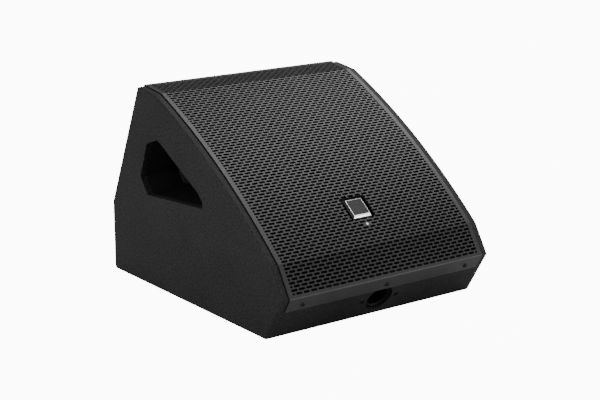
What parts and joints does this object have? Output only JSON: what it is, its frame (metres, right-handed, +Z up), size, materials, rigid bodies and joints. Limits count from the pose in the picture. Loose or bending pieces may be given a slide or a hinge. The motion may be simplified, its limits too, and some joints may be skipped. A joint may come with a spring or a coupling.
{
  "type": "stage monitor wedge",
  "caption": "Powered floor monitor wedge with a coaxial driver behind a curved perforated grille, side handle cups, a pole socket in the front panel and a rear amplifier panel.",
  "frame": {"origin": "on the floor under the middle of the wedge, at the centre of its footprint", "axes": "-Y towards the foot of the grille, +Y towards the rear panel, +X to the right of someone facing the grille, +Z up"},
  "size_m": [0.4, 0.482, 0.328],
  "materials": {
    "amp_plate": "black painted aluminium",
    "badge_metal": "brushed aluminium, blank",
    "board_green": "green circuit board",
    "cast_frame": "black painted steel basket",
    "cloth_edge": "treated cloth roll",
    "copper": "enamelled copper wire",
    "core_yellow": "taped ferrite core",
    "edge_coating": "birch plywood with a smooth black coating",
    "ferrite": "dark ferrite",
    "foam": "open-cell black acoustic foam",
    "grille_black": "black powder coat on perforated steel",
    "lead_sleeve": "black insulated pair",
    "light_pipe": "clear light pipe",
    "moulded_black": "moulded black plastic",
    "paper_cone": "treated paper",
    "plated_steel": "zinc plated steel",
    "rubber": "black rubber",
    "screw_black": "black zinc screw",
    "socket_nickel": "nickel plated socket",
    "spider_cloth": "impregnated cloth",
    "textured_coating": "birch plywood with a black textured polyurea coating",
    "titanium": "thin titanium dome",
    "window": "dark display window"
  },
  "bodies": {
    "cabinet": {"amp_cover": "plated_steel", "amp_panel": "amp_plate", "back_plate": "plated_steel", "badge_holder": "moulded_black", "badge_plate": "badge_metal", "baffle": "edge_coating", "bottom_panel": "textured_coating", "circuit_board": "board_green", "display_window": "window", "foot_front_left": "rubber", "foot_front_right": "rubber", "foot_rear_left": "rubber", "foot_rear_right": "rubber", "front_panel": "edge_coating", "grille": "grille_black", "grille_foam": "foam", "grille_screw_front_centre": "screw_black", "grille_screw_front_left": "screw_black", "grille_screw_front_right": "screw_black", "grille_screw_rear_left": "screw_black", "grille_screw_rear_right": "screw_black", "handle_cup_left": "moulded_black", "handle_cup_right": "moulded_black", "heat_sink": "plated_steel", "hf_cover": "moulded_black", "hf_horn": "moulded_black", "hf_magnet": "ferrite", "input_jack": "socket_nickel", "magnet": "ferrite", "mains_inlet": "moulded_black", "output_connector": "socket_nickel", "pole_socket": "moulded_black", "pole_socket_screw_left": "screw_black", "pole_socket_screw_right": "screw_black", "port_tube_left": "moulded_black", "port_tube_right": "moulded_black", "power_switch_frame": "moulded_black", "rear_lower_panel": "textured_coating", "rear_upper_panel": "textured_coating", "side_panel_left": "textured_coating", "side_panel_right": "textured_coating", "speaker_lead": "lead_sleeve", "spider": "spider_cloth", "status_light": "light_pipe", "top_plate": "plated_steel", "transformer": "core_yellow", "woofer_basket": "cast_frame", "woofer_bolt_1": "screw_black", "woofer_bolt_2": "screw_black", "woofer_bolt_3": "screw_black", "woofer_bolt_4": "screw_black", "woofer_gasket": "rubber", "woofer_surround": "cloth_edge"},
    "cone": {"woofer_cone": "paper_cone", "voice_coil": "copper"},
    "hf_dome": {"hf_diaphragm": "titanium"},
    "encoder_button": {"encoder_shaft": "plated_steel"},
    "encoder_cap": {"encoder_knob": "rubber"},
    "switch_rocker": {"power_rocker": "moulded_black"},
    "jack_latch": {"input_latch": "moulded_black"}
  },
  "joints": [
    {"name": "cone_travel", "type": "slide", "parent": "cabinet", "child": "cone", "axis": [0, -0.544, 0.8391], "range_m": [-0.006, 0.006], "stiffness_N_per_m": 5500, "deforming": ["woofer_surround", "spider"]},
    {"name": "hf_dome_travel", "type": "slide", "parent": "cabinet", "child": "hf_dome", "axis": [0, -0.544, 0.8391], "range_m": [-0.0003, 0.0003], "stiffness_N_per_m": 2500},
    {"name": "encoder_press", "type": "slide", "parent": "cabinet", "child": "encoder_button", "axis": [0, -0.9167, -0.3995], "range_m": [0, 0.0008], "stiffness_N_per_m": 1500, "springref_m": -0.001},
    {"name": "encoder_turn", "type": "hinge", "parent": "encoder_button", "child": "encoder_cap", "pos_m": [0.012, 0.17958, 0.24515], "axis": [0, 0.9167, 0.3995], "continuous": true},
    {"name": "rocker_tilt", "type": "hinge", "parent": "cabinet", "child": "switch_rocker", "pos_m": [0.012, 0.20112, 0.17818], "axis": [0, -0.3995, 0.9167], "range_deg": [-14, 0]},
    {"name": "latch_press", "type": "slide", "parent": "cabinet", "child": "jack_latch", "axis": [0, -0.9167, -0.3995], "range_m": [0, 0.0015], "stiffness_N_per_m": 800, "springref_m": -0.002}
  ]
}
